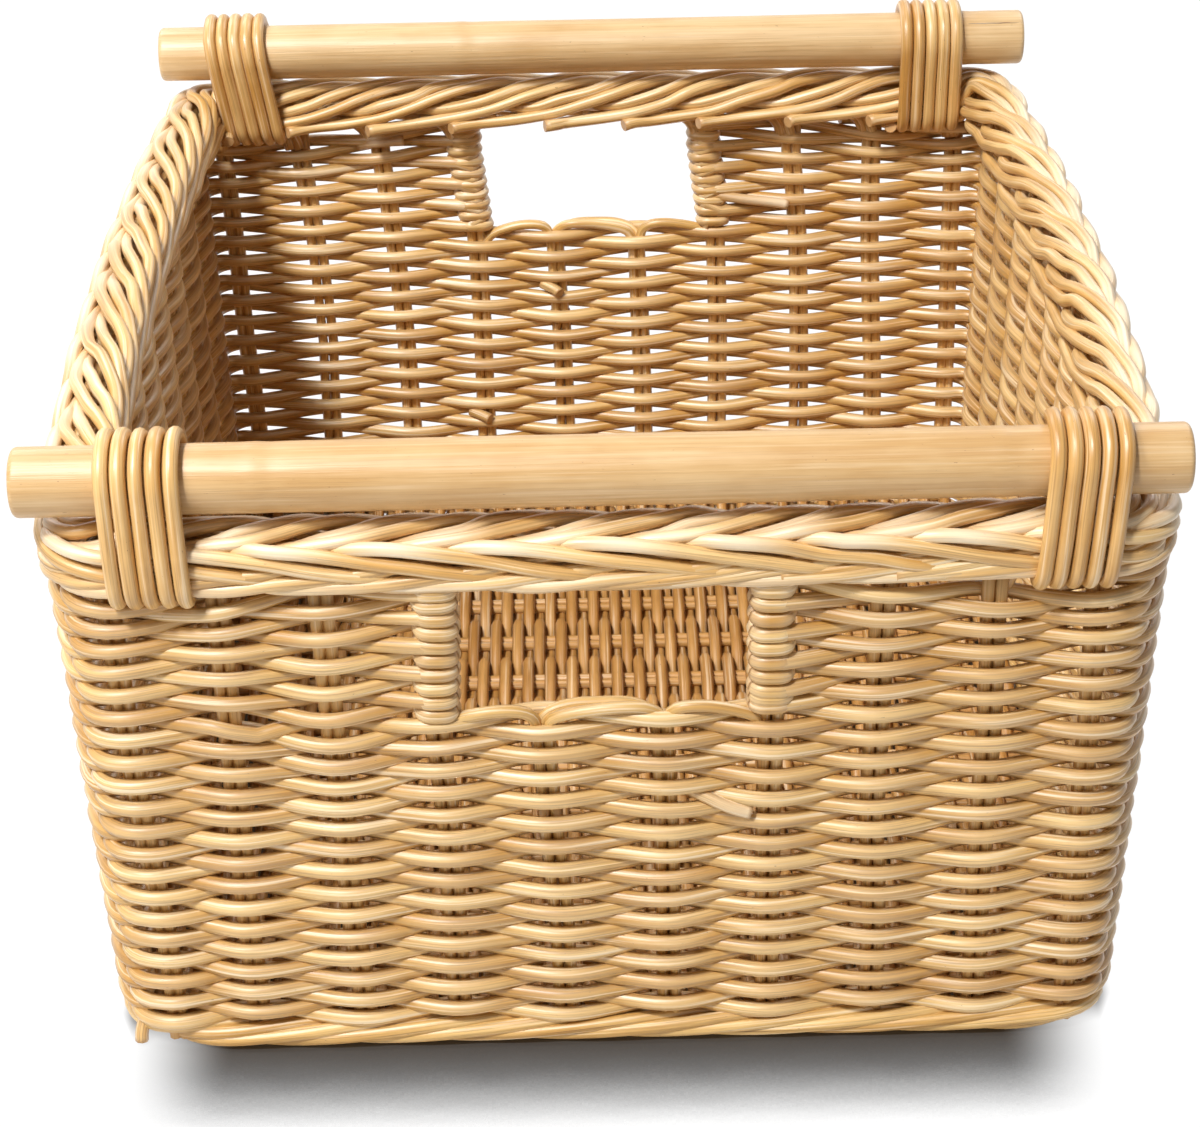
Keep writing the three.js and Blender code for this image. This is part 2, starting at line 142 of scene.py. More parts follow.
class Graph:
    """The nodes of a finish or of the sky."""

    def __init__(self, tree):
        self.tree = tree

    def node(self, kind, settings=None, sockets=None, out=0):
        """Any node: its settings first, then its sockets' values or links. It gives back the output named."""
        made = self.tree.nodes.new(kind)
        for key, value in (settings or {}).items():
            if key == "stops":
                ramp = made.color_ramp.elements
                while len(ramp) < len(value):
                    ramp.new(0.5)
                for stop, (place, shade) in zip(ramp, value):
                    stop.position = place
                    stop.color = (*shade, 1)
            else:
                setattr(made, key, value)
        for key, value in (sockets or {}).items():
            self.feed(made.inputs[key], value)
        return Wire(self, made.outputs[out])

    def feed(self, socket, value):
        if isinstance(value, Wire):
            self.tree.links.new(value.socket, socket)
        elif isinstance(value, tuple) and len(value) == 3 and socket.type == "RGBA":
            socket.default_value = (*value, 1)
        else:
            socket.default_value = value

    def blend(self, first, second, share):
        """A colour mix: share 0 is the first colour, 1 the second."""
        settings = {"data_type": "RGBA", "blend_type": "MIX", "clamp_factor": True}
        return self.node("ShaderNodeMix", settings, {0: share, 6: first, 7: second}, out=2)

    def step(self, value, low, high):
        """A smooth step from 0 at low to 1 at high."""
        settings = {"interpolation_type": "SMOOTHSTEP"}
        return self.node("ShaderNodeMapRange", settings, {0: value, 1: low, 2: high, 3: 0.0, 4: 1.0})

    def noise(self, place, stretch, detail=2.0, roughness=0.5):
        """Noise whose grains are 1 / stretch metres long in x, y and z."""
        scaled = self.node("ShaderNodeVectorMath", {"operation": "MULTIPLY"}, {0: place, 1: stretch})
        return self.node("ShaderNodeTexNoise", None,
                         {"Vector": scaled, "Scale": 1.0, "Detail": detail, "Roughness": roughness})

    def seen_directly(self):
        """1 for camera, glossy and transmission rays, which may see pure white, and 0 for all that light."""
        rays = ("Is Camera Ray", "Is Glossy Ray", "Is Transmission Ray")
        camera_ray, glossy_ray, through_ray = (self.node("ShaderNodeLightPath", out=ray) for ray in rays)
        return (camera_ray + glossy_ray + through_ray).clamped()


class Finish(Graph):
    """A material made by one Principled shader, and the nodes that feed it."""

    def __init__(self, name):
        self.material = bpy.data.materials.new(name)
        self.material.use_nodes = True
        super().__init__(self.material.node_tree)
        self.shader = self.tree.nodes["Principled BSDF"]

    def set(self, **sockets):
        for key, value in sockets.items():
            self.feed(self.shader.inputs[key.replace("_", " ")], value)


def linear(red, green, blue):
    """A colour as it is seen on a screen, from 0 to 255, as the shader's linear numbers."""
    return tuple(((shade / 255 + 0.055) / 1.055) ** 2.4 for shade in (red, green, blue))


# %% [markdown]
# ## The finish of the cane
#
# Peeled rattan is straw to honey coloured, with fine fibres that run along the rod, broad patches where the
# varnish has sunk in deeper, a few dark specks, and a whitish skin where it was folded sharply. A pattern in
# object space would cut across the rods. So each rod carries an attribute, `grain`, whose first number is
# the length along the rod and whose other two go round it, and the noise is stretched along the first. Three
# more say how dark the rod is, how whitish its skin is, and where it is sawn off (`cut`). The darkness is the
# rod's own tone, with painted shade where a weaver dives in behind the stakes and on the last part of a rim
# rod, and the back pole is painted paler than the front. The whitish skin is the cane's own where it is
# folded sharply, and it is a painted highlight along the weavers' outer crests, on the wraps' fold edges and
# on the rim's bends.

# %% Cane finish
DARK_RIDGE = linear(168, 122, 58)
DARK_FIBRE = linear(132, 90, 38)
PALE_RIDGE = linear(252, 234, 200)
SPECK = linear(112, 66, 30)
WHITISH_SKIN_AND_HIGHLIGHT = linear(252, 238, 212)
CUT_FACE = linear(190, 144, 88)
COAT_ROUGHNESS = 0.36
BUMP_STRENGTH, BUMP_DEPTH = 0.55, 0.0005


def cane(name, pale, honey, coat, streaks=0.6, roughness=0.5):
    """A varnished cane whose colour runs from pale to honey, with fibres along the rod."""
    finish = Finish(name)
    grain = finish.node("ShaderNodeAttribute", {"attribute_name": "grain"}, out=1)
    tone = finish.node("ShaderNodeAttribute", {"attribute_name": "tone"}, out=2)
    worn = finish.node("ShaderNodeAttribute", {"attribute_name": "worn"}, out=2)
    cut = finish.node("ShaderNodeAttribute", {"attribute_name": "cut"}, out=2)

    fibres = finish.noise(grain, (30, 1900, 1900), detail=2.0, roughness=0.6)
    ridges = finish.noise(grain, (14, 760, 760), detail=2.0, roughness=0.55)
    bands = finish.noise(grain, (16, 330, 330), detail=1.0)
    patches = finish.noise(grain, (26, 60, 60), detail=3.0, roughness=0.6)
    specks = finish.noise(grain, (420, 1500, 1500), detail=2.0)

    # The tone carries each rod's own darkness and also the painted shade set where the rods are made; towards
    # honey is darker.
    mixed = (patches - 0.5) * 1.7 + (bands - 0.5) * 1.1 + (tone - 0.5) * 0.77 + 0.5
    colour = finish.blend(pale, honey, mixed.clamped())
    dark_fibre = finish.step(fibres, 0.50, 0.72) * streaks
    dark_ridge = finish.step(ridges, 0.50, 0.70) * streaks
    colour = finish.blend(colour, DARK_RIDGE, dark_ridge * 0.75)
    colour = finish.blend(colour, DARK_FIBRE, dark_fibre * 0.7)
    pale_ridge = finish.step(ridges, 0.48, 0.30) * streaks
    colour = finish.blend(colour, PALE_RIDGE, pale_ridge * 0.7)
    colour = finish.blend(colour, SPECK, finish.step(specks, 0.72, 0.80) * 0.75)
    # Whitish skin: the cane's own at sharp folds, and a painted highlight wherever the rods are given one.
    colour = finish.blend(colour, WHITISH_SKIN_AND_HIGHLIGHT, worn * 0.75)
    colour = finish.blend(colour, CUT_FACE, cut * 0.8)
    finish.set(Base_Color=colour)

    height = fibres * 0.35 + ridges * 0.65
    bump = {"Strength": BUMP_STRENGTH, "Distance": BUMP_DEPTH, "Height": height}
    rough = (fibres - 0.5) * 0.25 + worn * 0.12 + cut * 0.3 + roughness
    finish.set(Normal=finish.node("ShaderNodeBump", None, bump), Roughness=rough)
    finish.set(Coat_Weight=coat, Coat_Roughness=COAT_ROUGHNESS)
    return finish.material


weaver_cane = cane("weaver cane", linear(226, 186, 115), linear(193, 141, 59), 0.9, 0.85, 0.52)
stake_cane = cane("stake cane", linear(234, 196, 132), linear(208, 158, 84), 0.3)
border_cane = cane("border cane", linear(232, 194, 130), linear(206, 155, 78), 0.9, 0.8, 0.52)
base_cane = cane("base cane", linear(200, 150, 84), linear(168, 116, 52), 0.15)
pole_cane = cane("pole cane", linear(218, 184, 134), linear(196, 154, 98), 0.3, 0.22, 0.42)
lashing_reed = cane("lashing reed", linear(226, 186, 122), linear(198, 146, 74), 0.4, 0.6, 0.38)
print("cane finishes:", len(bpy.data.materials))

# %% [markdown]
# ## One rod, and many
#
# A rod could be lofted face by face, but Blender's curves do that: a curve with a bevel depth is a rod, and
# the radius of each point makes it thicker or thinner. The curve is then made a mesh, whose rings come in
# the order of the points, so that the attributes for the finish can be filled in, and the open ends are
# closed. A rod that goes up or round and round keeps its rings best with the least twist, which `upright`
# asks for.

# %% Rod helpers
random = np.random.default_rng(7)


def rod(points, radius, tone, worn=0, squeeze=None):
    """One rod: points in mm on its middle line, radius in mm, and how its finish varies along it."""
    count = len(points)
    return {
        "points": points,
        "radius": np.broadcast_to(np.asarray(radius, float), count).copy(),
        "tone": np.broadcast_to(np.asarray(tone, float), count),
        "worn": np.broadcast_to(np.asarray(worn, float), count),
        "squeeze": squeeze,
        "offset": random.random() * 10,
    }


def smooth(keys, spacing=2.0):
    """A smooth line through key points (rows of any width), resampled at an even spacing in mm."""
    keys = np.asarray(keys, float)
    ends = np.vstack([2 * keys[0] - keys[1], keys, 2 * keys[-1] - keys[-2]])
    steps = np.linspace(0, 1, 12, endpoint=False)[:, None]
    square, cube = steps**2, steps**3
    spans = []
    for before, start, end, after in zip(ends, ends[1:], ends[2:], ends[3:]):
        pull_in = (end - before) / 2
        pull_out = (after - start) / 2
        spans.append((2 * cube - 3 * square + 1) * start + (cube - 2 * square + steps) * pull_in
                     + (3 * square - 2 * cube) * end + (cube - square) * pull_out)
    line = np.vstack(spans + [keys[-1:]])
    length = np.concatenate([[0], np.cumsum(np.linalg.norm(np.diff(line[:, :3], axis=0), axis=1))])
    count = max(3, int(round(length[-1] / spacing)) + 1)
    even = np.linspace(0, length[-1], count)
    return np.stack([np.interp(even, length, column) for column in line.T], axis=1)


def rods_mesh(name, rods, sides, upright):
    """The mesh of the rods, ring by ring, with open ends."""
    curve = bpy.data.curves.new(name, "CURVE")
    curve.dimensions = "3D"
    curve.twist_mode = "MINIMUM" if upright else "Z_UP"
    curve.bevel_depth = MM
    curve.bevel_resolution = (sides - 4) // 2
    curve.use_fill_caps = False
    for one in rods:
        count = len(one["points"])
        spline = curve.splines.new("POLY")
        spline.points.add(count - 1)
        spline.points.foreach_set("co", np.hstack([one["points"] * MM, np.ones((count, 1))]).ravel())
        spline.points.foreach_set("radius", one["radius"])
    carrier = bpy.data.objects.new(name + "_line", curve)
    scene.collection.objects.link(carrier)
    bpy.context.view_layer.update()
    mesh = bpy.data.meshes.new_from_object(carrier.evaluated_get(bpy.context.evaluated_depsgraph_get()))
    bpy.data.objects.remove(carrier)
    bpy.data.curves.remove(curve)
    total = sum(len(one["points"]) for one in rods) * sides
    if total != len(mesh.vertices):
        raise ValueError(f"{name}: {len(mesh.vertices)} vertices, but the rods have {total}")
    return mesh


def flatten_folds(mesh, rods, sides):
    """Press each rod flat where it says so: `squeeze` is a direction, as long as the share pressed away."""
    places = np.empty(len(mesh.vertices) * 3)
    mesh.vertices.foreach_get("co", places)
    places = places.reshape(-1, 3)
    start = 0
    for one in rods:
        count = len(one["points"])
        if one["squeeze"] is not None:
            block = places[start:start + count * sides].reshape(count, sides, 3)
            middle = one["points"][:, None, :] * MM
            amount = np.linalg.norm(one["squeeze"], axis=1)
            along = one["squeeze"] / np.maximum(amount, 1e-9)[:, None]
            depth = np.einsum("nsk,nk->ns", block - middle, along)
            block -= (depth * amount[:, None])[:, :, None] * along[:, None, :]
        start += count * sides
    mesh.vertices.foreach_set("co", places.ravel())


def write_finish(mesh, rods, sides):
    """The attributes that the cane finish reads, for each point of each rod."""
    angle = 2 * math.pi * np.arange(sides) / sides
    values = {"grain": [], "tone": [], "worn": [], "cut": []}
    for one in rods:
        count = len(one["points"])
        steps = np.linalg.norm(np.diff(one["points"], axis=0), axis=1)
        length = np.concatenate([[0], np.cumsum(steps)])
        ring = np.empty((count, sides, 3))
        ring[:, :, 0] = (length * MM + one["offset"])[:, None]
        ring[:, :, 1] = one["radius"][:, None] * MM * np.cos(angle)
        ring[:, :, 2] = one["radius"][:, None] * MM * np.sin(angle) + one["offset"]
        values["grain"].append(ring.ravel())
        values["tone"].append(np.repeat(one["tone"], sides))
        values["worn"].append(np.repeat(one["worn"], sides))
        sawn = np.zeros(count)
        sawn[[0, -1]] = 1
        values["cut"].append(np.repeat(sawn, sides))
    for title, parts in values.items():
        kind, field = ("FLOAT_VECTOR", "vector") if title == "grain" else ("FLOAT", "value")
        layer = mesh.attributes.new(title, kind, "POINT")
        layer.data.foreach_set(field, np.concatenate(parts))


def piece(name, rods, finish, nodes, sides=8, upright=False):
    """One object from a list of rods, which rides on the root body and stands for the nodes."""
    mesh = rods_mesh(name, rods, sides, upright)
    flatten_folds(mesh, rods, sides)
    write_finish(mesh, rods, sides)
    work = bmesh.new()
    work.from_mesh(mesh)
    bmesh.ops.holes_fill(work, edges=[edge for edge in work.edges if edge.is_boundary], sides=0)
    for face in work.faces:
        face.smooth = len(face.verts) == 4
    work.to_mesh(mesh)
    work.free()
    mesh.materials.clear()
    mesh.materials.append(finish)
    made = bpy.data.objects.new(name, mesh)
    scene.collection.objects.link(made)
    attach(made, "root")
    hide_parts(*nodes)
    return made


def faces_in(*objects):
    """The triangles that the objects come to."""
    return sum(len(polygon.vertices) - 2 for made in objects for polygon in made.data.polygons)


# %% [markdown]
# ## The way round the walls
#
# Everything on this basket goes round it, so one function gives the place for a number of stakes gone round,
# a height, and a distance out from the middle of the wall. Stakes 0 to 9 are in the front, 10 to 20 on the
# right, 21 to 30 in the back and 31 to 41 on the left. The walls flare, and bow outwards at the middle. All
# lengths from here on are in mm.

# %% Round the walls
STAKES = 42
SIDE_NAMES = ("front", "right", "back", "left")
FIRST = np.array([0, 10, 21, 31])
COUNT = np.array([10, 11, 10, 11])
MM_PER_STAKE = 37.49
STAKE_INSET = 19.25
FOOT_TOP, RIM_BOTTOM = 12.3, 206.3
HALF_WIDTH, SIDE_FLARE = 182.95, 5
HALF_DEPTH, FRONT_FLARE = 204.45, 10
SIDE_BOW, FRONT_BOW = (6.5, 9), (0.5, 2)
CORNER_RADIUS = 11.0


def rise(z, lowest=0.0):
    """The share of the way from the foot to the rim."""
    return np.clip((z - FOOT_TOP) / (RIM_BOTTOM - FOOT_TOP), lowest, 1)


def wall_line(z):
    """Half width, half depth, the two bows and the corner radius of the middle of the wall at a height."""
    up = rise(z, -0.1)
    side_bow = SIDE_BOW[0] + (SIDE_BOW[1] - SIDE_BOW[0]) * up
    front_bow = FRONT_BOW[0] + (FRONT_BOW[1] - FRONT_BOW[0]) * up
    return HALF_WIDTH + SIDE_FLARE * up, HALF_DEPTH + FRONT_FLARE * up, side_bow, front_bow, CORNER_RADIUS


def border_line(z):
    """The same five of the rim, which goes straight up."""
    return 184.0, 210.5, SIDE_BOW[1], FRONT_BOW[1], 14.0


# %% Stakes set one by one
# How far the stakes of the front and of the back stand from even places, at five heights.
SHIFT_HEIGHTS = (15, 60, 100, 150, 192)
FRONT_SHIFT = (
    (-2.3, -8.0, -3.3, -4.7, -0.8, 2.1, 1.9, 4.9, 7.6, 6.1),
    (-1.5, -7.8, -5.2, -4.6, -1.4, 1.5, 1.1, 4.1, 5.6, 5.0),
    (-4.0, -6.2, -4.7, -4.0, -4.3, 0.9, 0.4, 0.7, 4.3, 3.3),
    (-4.2, -4.6, -5.6, -6.0, -6.5, -0.7, 0.5, 0.7, 3.4, 1.4),
    (-3.8, -3.1, -5.2, -4.1, -5.0, -1.0, 0.0, 0.2, 1.0, -1.0),
)
BACK_SHIFT = (
    (-7.5, -8.0, -7.9, -3.5, -4.0, -1.8, 1.1, 1.0, 4.5, 5.0),
    (-7.5, -8.0, -7.9, -3.5, -4.0, -1.8, 1.1, 1.0, 4.5, 5.0),
    (-5.9, -4.9, -6.9, -3.7, -2.5, -1.0, 0.8, 1.5, 2.6, 6.9),
    (-3.8, -1.7, -4.7, -1.8, -0.9, 1.6, 1.1, 4.0, 4.4, 6.7),
    (-2.8, -0.9, 0.0, 4.2, 1.4, 2.0, 6.1, 7.9, 8.4, 8.0),
)


def settled(stake, z):
    """How far along, in stakes, a stake number lies from its even place at a height."""
    level = np.interp(z, SHIFT_HEIGHTS, np.arange(5))
    total = 0
    for first, table in ((0, FRONT_SHIFT), (21, BACK_SHIFT)):
        near = np.mod(stake - first + 10, STAKES) - 10
        values = [np.interp(near, np.arange(-1, 11), (0, *row, 0)) for row in table]
        for place, value in enumerate(values):
            total = total + value * np.clip(1 - np.abs(level - place), 0, 1)
    return total / MM_PER_STAKE


def around(stake, z, out, line=wall_line):
    """Points at a stake number, a height and a distance outwards; the three may be arrays."""
    stake, z, out = np.broadcast_arrays(*(np.asarray(value, float) for value in (stake, z, out)))
    stake = np.mod(stake + settled(stake, z), STAKES)
    half_x, half_y, side_bow, front_bow, radius = line(z)
    side = np.searchsorted(FIRST, stake, side="right") - 1
    frontal = side % 2 == 0
    half_along = np.where(frontal, half_x, half_y)
    half_out = np.where(frontal, half_y, half_x)
    bow = np.where(frontal, front_bow, side_bow)
    next_bow = np.where(frontal, side_bow, front_bow)
    reach_x = HALF_WIDTH + SIDE_FLARE * rise(z) - STAKE_INSET
    reach_y = HALF_DEPTH + FRONT_FLARE * rise(z) - STAKE_INSET
    reach = np.where(frontal, reach_x, reach_y)
    run = half_along - radius
    lead = np.maximum(run - reach, 0.1)
    next_run = half_out - radius
    next_lead = np.maximum(next_run - np.where(frontal, reach_y, reach_x), 0.1)
    place = stake - FIRST[side]
    last = COUNT[side] - 1
    bend = radius * math.pi / 2
    travelled = (place - last) * (lead + bend + next_lead)

    straight = travelled <= lead
    along_1 = np.where(place <= last, -reach + 2 * reach * place / last, reach + travelled)
    out_1 = half_out + bow * (1 - (along_1 / run) ** 2) + out
    angle = np.clip((travelled - lead) / radius, 0, math.pi / 2)
    along_2 = run + (radius + out) * np.sin(angle)
    out_2 = half_out - radius + (radius + out) * np.cos(angle)
    beyond = travelled > lead + bend
    far = next_run - (travelled - lead - bend)
    along_3 = half_along + next_bow * (1 - (far / next_run) ** 2) + out
    along = np.where(straight, along_1, np.where(beyond, along_3, along_2))
    outward = np.where(straight, out_1, np.where(beyond, far, out_2))
    x = np.choose(side, [along, outward, -along, -outward])
    y = np.choose(side, [-outward, along, outward, -along])
    return np.stack([x, y, z], axis=-1)


for stake_number in (0, 9, 10, 20, 21, 30, 31, 41):
    print("stake", stake_number, "stands at", around(stake_number, 100, 0).round(1))

# %% [markdown]
# ## The weavers
#
# Each weaver goes outside one pair of stakes and inside the next, and the row above does the opposite. Half
# of the way between two pairs it crosses the middle of the wall. The height of a row is never quite even on
# handmade work, so a slow wave is added, the same for neighbouring rows, which keeps them clear of each
# other. Rows are counted from the rim downwards, and row 11 is the first that goes all the way round under
# the holes.

# %% Heights of the rows
SWING = 4.05
WEAVER = 2.96
CLOSED_TOP = 11
CLOSED_HEIGHT = 150
ROWS = 38
ROW_PITCH, UPPER_PITCH = 5.1, 4.95
POINTS_PER_STAKE = 12
LASHED_AT = (0.4, 8.65, 21.3, 29.6)
SAGGING_AT = 2


def bump_at(value, middle, width):
    """A bell that is 1 at the middle."""
    return np.exp(-((value - middle) / width) ** 2)


wave_turns = random.integers(3, 16, 10)
wave_climbs = random.normal(0, 0.028, 10)
wave_phases = random.random(10) * 2 * math.pi


def sway(stake, z):
    """The slow wave in the height of the rows."""
    total = 0
    for turns, climb, phase in zip(wave_turns, wave_climbs, wave_phases):
        total = total + np.sin(2 * math.pi * turns * stake / STAKES + climb * z * 2 + phase)
    return total * 0.22


def row_height(row, stake):
    """The height of a row at a stake number: lower under the lashings, and sagging left of the front hole."""
    if row >= CLOSED_TOP:
        height = CLOSED_HEIGHT - ROW_PITCH * (row - CLOSED_TOP) + (0.9 if row == ROWS else 0)
        sag = np.clip((22 - row) / 10, 0, 1) * -3.6
    else:
        height = CLOSED_HEIGHT + UPPER_PITCH * (CLOSED_TOP - row)
        sag = 3.0 - (row - 2) * 0.75
    for tied in LASHED_AT:
        gap = np.mod(stake - tied + 21, STAKES) - 21
        height = height - 5.0 * max(0, 1 - row / 5) * bump_at(gap, 0, 1.0)
    near = np.mod(stake + 20, STAKES) - 20
    if row == CLOSED_TOP:
        height = height - 3.6 * np.clip(1 - np.abs(near - 1.27) / 0.4, 0, 1)
    fade = np.clip((height - 15) / 25, 0, 1) * np.clip((206 - height) / 8, 0.25, 1)
    return height + sway(stake, height) * fade + sag * bump_at(near, SAGGING_AT, 0.7)


def swing(row, stake, sharp=0.05):
    """How far out from the middle of the wall a row is at a stake number."""
    phase = math.pi * (stake + row)
    return SWING * (np.cos(phase) + sharp * np.cos(3 * phase)) / (1 + sharp)


# %% Rows that go all the way round
def tone_along(points):
    """A tone that differs from rod to rod and drifts slowly along it."""
    drift = np.cumsum(random.normal(0, 0.035, points))
    return np.clip(random.normal(0.5, 0.22) + drift - drift.mean(), 0, 1)


def thickness_along(points, radius):
    """A radius that wanders a little along the rod."""
    knots = max(4, points // 24)
    wander = np.interp(np.arange(points), np.linspace(0, points, knots), random.normal(0, 0.045, knots))
    return radius * (1 + wander)


def weave_piece(name, rods, upright=False):
    """A piece of the woven skin, which stands for the four walls."""
    walls = [f"{word}_wall" for word in SIDE_NAMES]
    return piece(name, rods, weaver_cane, walls, upright=upright)


weavers = []
for row in range(CLOSED_TOP, ROWS + 1):
    seam = [g for g in range(11, 41) if (g + row) % 2 == 0][int(random.integers(0, 15))]
    stakes = seam + np.linspace(-0.05, STAKES + 0.05, STAKES * POINTS_PER_STAKE + 1)
    sharp = 0.05 + 0.04 * np.sin(stakes * 1.7 + row)
    small = np.interp(stakes, np.linspace(seam, seam + STAKES, 60), random.normal(0, 0.16, 60))
    line = around(stakes, row_height(row, stakes) + small, swing(row, stakes, sharp))
    count = len(line)
    radius = thickness_along(count, WEAVER * random.uniform(0.97, 1.03))
    # Paler and whitish along the crest, where the weaver stands out over a pair, and darker where it dives
    # in: a painted highlight and painted shade.
    crest = np.abs(np.cos(math.pi * (stakes + row)))
    one = rod(line, radius, tone_along(count) + 0.35 - 0.4 * crest, worn=0.15 * crest)
    weavers.append(weave_piece(f"weaver_{row:02d}", [one]))
print("closed rows:", len(weavers), "triangles:", faces_in(*weavers))

# %% [markdown]
# ## The weavers beside the hand holes
#
# At a hand hole a row can't go on. It turns round the last pair of stakes, comes out again between the rows
# as a short filler, turns once more and goes back inside as the next row. The fold is sharp, so the cane is
# flattened there and its skin has gone whitish. What shows at the edge is a stack of short wraps, one to a
# row, so a ring is laid round the pair at each row's height, and covers the turns behind it.

# %% Turning round the edge of a hole
BACK_EDGE = [155 + 5.35 * (10 - row) for row in range(11)]
EDGE_HEIGHTS = {
    3: (206, 204.8, 200.2, 195.0, 189.2, 183.3, 177.4, 171.5, 165.8, 160.0, 154.4),
    6: (206, 203.6, 198.2, 192.0, 185.7, 179.6, 173.5, 167.5, 161.6, 158.4, 155.2),
    24: BACK_EDGE,
    27: BACK_EDGE,
}
PAIR_SPREAD = 2.2
FOLD = 2.6
FILLER_ALONG, FILLER_OUT = 3.0, 2.6


def panel_height(row, stakes):
    """Row heights in a panel: as elsewhere, but led to the edge's own heights close to a hole."""
    height = row_height(row, stakes)
    for edge, table in EDGE_HEIGHTS.items():
        gap = np.abs(np.mod(stakes - edge + 21, STAKES) - 21)
        near = np.clip(1 - gap / 1.4, 0, 1)
        near = near * near * (3 - 2 * near)
        height = height * (1 - near) + table[row] * near
    return height


def half_turn(level, drop):
    """Key points (along, out, height, fold) from outside to inside, round the hole's side of a pair."""
    keys = []
    for angle in range(90, -91, -30):
        sine, cosine = math.sin(math.radians(angle)), math.cos(math.radians(angle))
        keys.append((PAIR_SPREAD + FOLD * cosine, SWING * sine, level - drop * (1 - sine), max(0, cosine)))
    return keys


def turns(edge, toward, row, half_turns):
    """Points (stake number, out, height, fold) of a weaver that goes round the edge pair once, or thrice."""
    table = EDGE_HEIGHTS[edge % STAKES]
    level = table[row]
    lower = table[min(row + 1, 10)]
    keys = half_turn(level, 1.4 if half_turns == 3 else 0.8)
    if half_turns == 3:
        start = level - 2.8
        for angle in range(-90, -271, -30):
            sine, cosine = math.sin(math.radians(angle)), math.cos(math.radians(angle))
            height = start + (lower - start) * (sine + 1) / 2
            keys.append((-PAIR_SPREAD + FILLER_ALONG * cosine, FILLER_OUT * sine, height, 0))
        keys += half_turn(lower, 1.3)
    return [(edge + toward * along / MM_PER_STAKE, out, height, worn) for along, out, height, worn in keys]


def panel_row(row, start, end):
    """A row's points (stake number, out, height, fold) between two stake numbers, in either direction."""
    count = int(abs(end - start) * POINTS_PER_STAKE) + 1
    stakes = np.linspace(start, end, count)
    return np.stack([stakes, swing(row, stakes), panel_height(row, stakes), np.zeros(count)], axis=1)


# %% Panels between the holes
def hole_weaver(points):
    """A rod from points (stake number, out, height, fold), flattened where it is folded."""
    points = np.asarray(points)
    line = around(points[:, 0], points[:, 2], points[:, 1])
    fold = points[:, 3]
    direction = around(points[:, 0] + 0.02, 100, 0) - around(points[:, 0] - 0.02, 100, 0)
    direction /= np.linalg.norm(direction, axis=1)[:, None]
    count = len(line)
    # The same painted highlight on the crest and painted shade where the weaver dives in; the whitish skin at
    # the folds is the cane's own.
    crest = np.clip(np.abs(points[:, 1]) / SWING, 0, 1)
    return rod(line, thickness_along(count, WEAVER * 0.97), tone_along(count) + 0.35 - 0.4 * crest,
               worn=np.maximum(fold * 0.9, 0.15 * crest), squeeze=direction * (fold * 0.34)[:, None])


def panel(first, last, paired, joined, ended):
    """The weavers of one panel, between the hole edges at stake numbers first and last.

    A paired row comes back as the next one after three half turns, a joined row after one, and an ended row
    just stops behind the edge.
    """
    rods = []
    for row in (*paired, *joined):
        half_turns, seam = (3, first + 4.5 + row % 3) if row in paired else (1, first + 5.5)
        start = panel_row(row + 1, seam, first)[:-1]
        start_turn = turns(first, -1, row, half_turns)[::-1]
        across = panel_row(row, first, last)[1:-1]
        end_turn = turns(last, 1, row, half_turns)
        tail = panel_row(row + 1, last, seam + 0.02)[1:]
        rods.append(hole_weaver(np.vstack([start, start_turn, across, end_turn, tail])))
    for row in ended:
        rods.append(hole_weaver(panel_row(row, first - 0.05, last + 0.05)))
    return rods


left_panel = weave_piece("left_panel_weavers", panel(27, 45, (1, 3, 5, 7), (9,), ()))
right_rods = panel(6, 24, (2, 4, 6), (8,), (1,))
last_row = np.vstack([turns(6, -1, 10, 1)[::-1], panel_row(10, 6, 24)[1:-1], turns(24, 1, 10, 1)])
right_rods.append(hole_weaver(last_row))
right_panel = weave_piece("right_panel_weavers", right_rods)
top_rods = [hole_weaver(panel_row(0, start, end)) for start, end in ((8.6, 22.4), (29.6, 43.4))]
top = weave_piece("top_weavers", top_rods)
print("panel triangles:", faces_in(left_panel, right_panel, top))

# %% Wraps at the holes' edges
FRONT_WRAP, BACK_WRAP = 3.05, 2.78
WRAP_POINTS = 34


def rounded_square(wave, sharpness):
    """A sine or cosine with fuller shoulders, which turns a circle into a rounded square."""
    return np.sign(wave) * np.abs(wave) ** sharpness


wraps = []
for edge, toward in ((3, 1), (6, -1), (24, 1), (27, -1)):
    for row in range(11):
        angle = np.linspace(0.4, 0.4 + 2 * math.pi, WRAP_POINTS)
        along = 0.5 + 5.5 * rounded_square(np.cos(angle), 0.6)
        out = 4.4 * rounded_square(np.sin(angle), 0.8)
        height = EDGE_HEIGHTS[edge][row] + 0.3 * np.sin(angle + row)
        line = around(edge + toward * along / MM_PER_STAKE, height, out)
        radius = (FRONT_WRAP if edge < 10 else BACK_WRAP) * random.uniform(0.98, 1.02)
        # Whitish at the wrap's two fold edges: the cane's own folded skin, with a painted highlight on it.
        wraps.append(rod(line, radius, tone_along(WRAP_POINTS), worn=0.35 * np.abs(np.cos(angle))))
edge_wraps = weave_piece("edge_wraps", wraps, upright=True)
print("wraps:", len(wraps), "triangles:", faces_in(edge_wraps))

# %% [markdown]
# ## Loose ends
#
# A weaver is only a few metres long. Where one stops, its cut end lies against the stakes and the next one
# starts behind it. A few such ends show in the photograph, and one stake end pokes out below the left
# corner. Each is given by how whitish its tip is, and by key points: stake number, height, and distance out.

